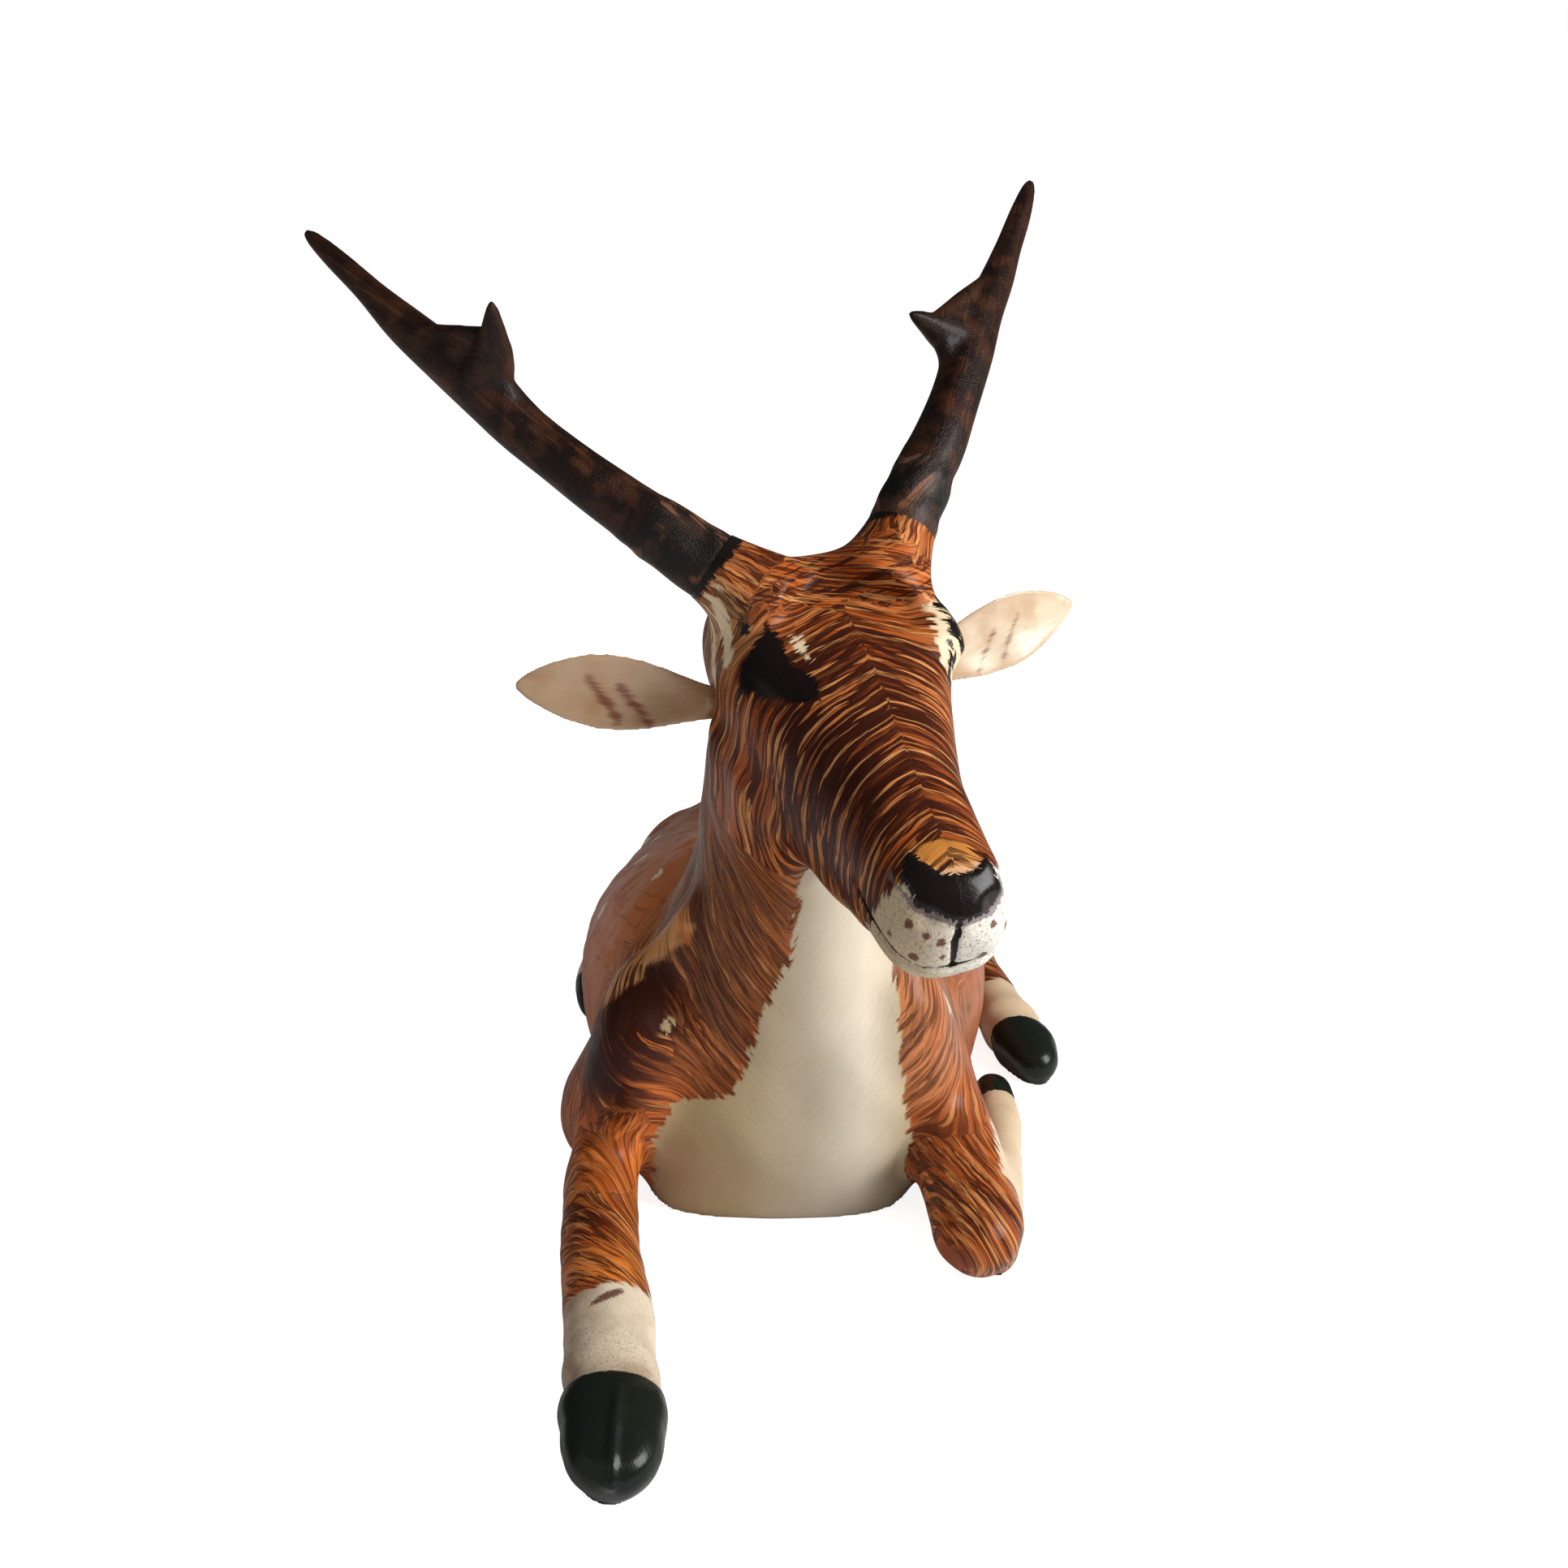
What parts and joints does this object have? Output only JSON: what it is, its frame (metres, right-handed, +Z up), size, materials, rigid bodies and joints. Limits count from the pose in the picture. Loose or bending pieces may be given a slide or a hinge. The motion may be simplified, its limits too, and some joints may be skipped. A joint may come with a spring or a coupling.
{
  "type": "reclining stag figure",
  "caption": "Painted and varnished carved wooden stag lying down on a flat underside, head turned to one side, with lift-out antlers and plug-in ears.",
  "frame": {"origin": "middle of the flat underside that the figure rests on", "axes": "+Z up; the stag faces -Y, so +Y runs along its length to the tail; the stag's own left side is +X"},
  "size_m": [0.1335, 0.2485, 0.1791],
  "materials": {
    "painted_body": "carved softwood, orange-brown paint with dark brushed hair strokes, gloss varnish",
    "painted_pale": "carved softwood, cream paint, gloss varnish",
    "painted_antler": "carved hardwood twig shape, black-brown paint, satin varnish",
    "putty": "hard wood filler, painted over in patches",
    "bare_dowel": "bare turned hardwood dowel"
  },
  "bodies": {
    "figure": {"torso": "painted_body", "neck": "painted_body", "head": "painted_body", "foreleg_right": "painted_body", "foreleg_left": "painted_body", "hind_leg_right": "painted_body", "hind_leg_left": "painted_body", "tail": "painted_pale", "neck_dowel": "bare_dowel", "head_dowel": "bare_dowel", "foreleg_dowel_right": "bare_dowel", "foreleg_dowel_left": "bare_dowel", "hind_leg_dowel_right": "bare_dowel", "hind_leg_dowel_left": "bare_dowel", "tail_dowel": "bare_dowel"},
    "antler_right_part": {"antler_right": "painted_antler", "antler_peg_right": "bare_dowel", "antler_sleeve_right": "putty"},
    "antler_left_part": {"antler_left": "painted_antler", "antler_peg_left": "bare_dowel", "antler_sleeve_left": "putty"},
    "ear_right_part": {"ear_right": "painted_pale"},
    "ear_left_part": {"ear_left": "painted_pale"}
  },
  "joints": [
    {"name": "antler_right_lift", "type": "slide", "parent": "figure", "child": "antler_right_part", "axis": [-0.8293, 0.0653, 0.555], "range_m": [0, 0.014]},
    {"name": "antler_left_lift", "type": "slide", "parent": "figure", "child": "antler_left_part", "axis": [0.349, 0.5404, 0.7656], "range_m": [0, 0.014]},
    {"name": "ear_right_pull", "type": "slide", "parent": "figure", "child": "ear_right_part", "axis": [-0.9894, -0.0918, 0.1127], "range_m": [0, 0.009]},
    {"name": "ear_left_pull", "type": "slide", "parent": "figure", "child": "ear_left_part", "axis": [0.8641, 0.4109, 0.2907], "range_m": [0, 0.009]}
  ]
}
